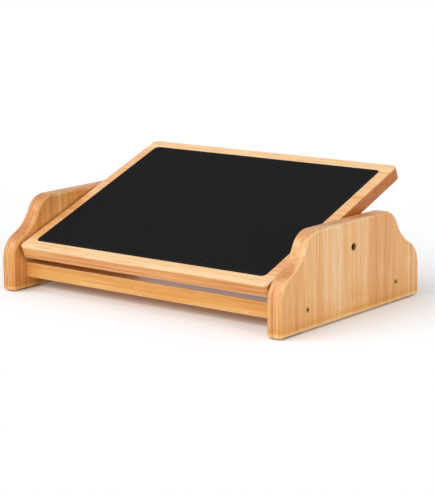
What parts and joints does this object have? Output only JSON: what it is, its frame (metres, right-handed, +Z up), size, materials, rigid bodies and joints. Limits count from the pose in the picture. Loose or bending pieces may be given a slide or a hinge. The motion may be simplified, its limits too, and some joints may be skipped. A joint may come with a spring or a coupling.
{
  "type": "tilting footrest",
  "caption": "Bamboo footrest whose matted platform tilts on pivot bolts between shaped side panels that slats join.",
  "frame": {"origin": "on the floor, below the middle of the footrest", "axes": "+X to the right across the width, +Y from the low front edge of the platform to its raised rear edge, +Z up"},
  "size_m": [0.46, 0.3, 0.1694],
  "materials": {
    "bamboo_panel": "clear satin lacquer over vertical bamboo strips",
    "bamboo_board": "clear satin lacquer over bamboo strips laid across the width",
    "bamboo_slat": "clear satin lacquer over bamboo strips laid across the width",
    "bamboo_block": "clear satin lacquer",
    "dowel_beech": "bare turned wood",
    "mat_rubber": "matte, with a fine raised diamond texture",
    "pad_rubber": "matte",
    "washer_rubber": "matte",
    "bush_nylon": "plain moulded nylon",
    "black_steel": "black oxide",
    "screw_steel": "yellow zinc plating over steel",
    "insert_brass": "turned brass"
  },
  "bodies": {
    "base": {"left_side_panel": "bamboo_panel", "left_pivot_bush": "bush_nylon", "right_side_panel": "bamboo_panel", "right_pivot_bush": "bush_nylon", "front_left_floor_pad": "pad_rubber", "front_left_slat_screw": "screw_steel", "front_left_dowel_1": "dowel_beech", "front_left_dowel_2": "dowel_beech", "rear_left_floor_pad": "pad_rubber", "rear_left_slat_screw": "screw_steel", "rear_left_dowel_1": "dowel_beech", "rear_left_dowel_2": "dowel_beech", "front_right_floor_pad": "pad_rubber", "front_right_slat_screw": "screw_steel", "front_right_dowel_1": "dowel_beech", "front_right_dowel_2": "dowel_beech", "rear_right_floor_pad": "pad_rubber", "rear_right_slat_screw": "screw_steel", "rear_right_dowel_1": "dowel_beech", "rear_right_dowel_2": "dowel_beech", "front_slat": "bamboo_slat", "rear_slat": "bamboo_slat"},
    "platform": {"platform_board": "bamboo_board", "anti_slip_mat": "mat_rubber", "left_pivot_block": "bamboo_block", "left_pivot_bolt": "black_steel", "left_friction_washer": "washer_rubber", "left_threaded_insert": "insert_brass", "right_pivot_block": "bamboo_block", "right_pivot_bolt": "black_steel", "right_friction_washer": "washer_rubber", "right_threaded_insert": "insert_brass", "front_left_block_screw": "screw_steel", "rear_left_block_screw": "screw_steel", "front_right_block_screw": "screw_steel", "rear_right_block_screw": "screw_steel"}
  },
  "joints": [
    {"name": "platform_tilt", "type": "hinge", "parent": "base", "child": "platform", "pos_m": [0, 0, 0.0885], "axis": [1, 0, 0], "range_deg": [-46.8, 4.8]}
  ]
}
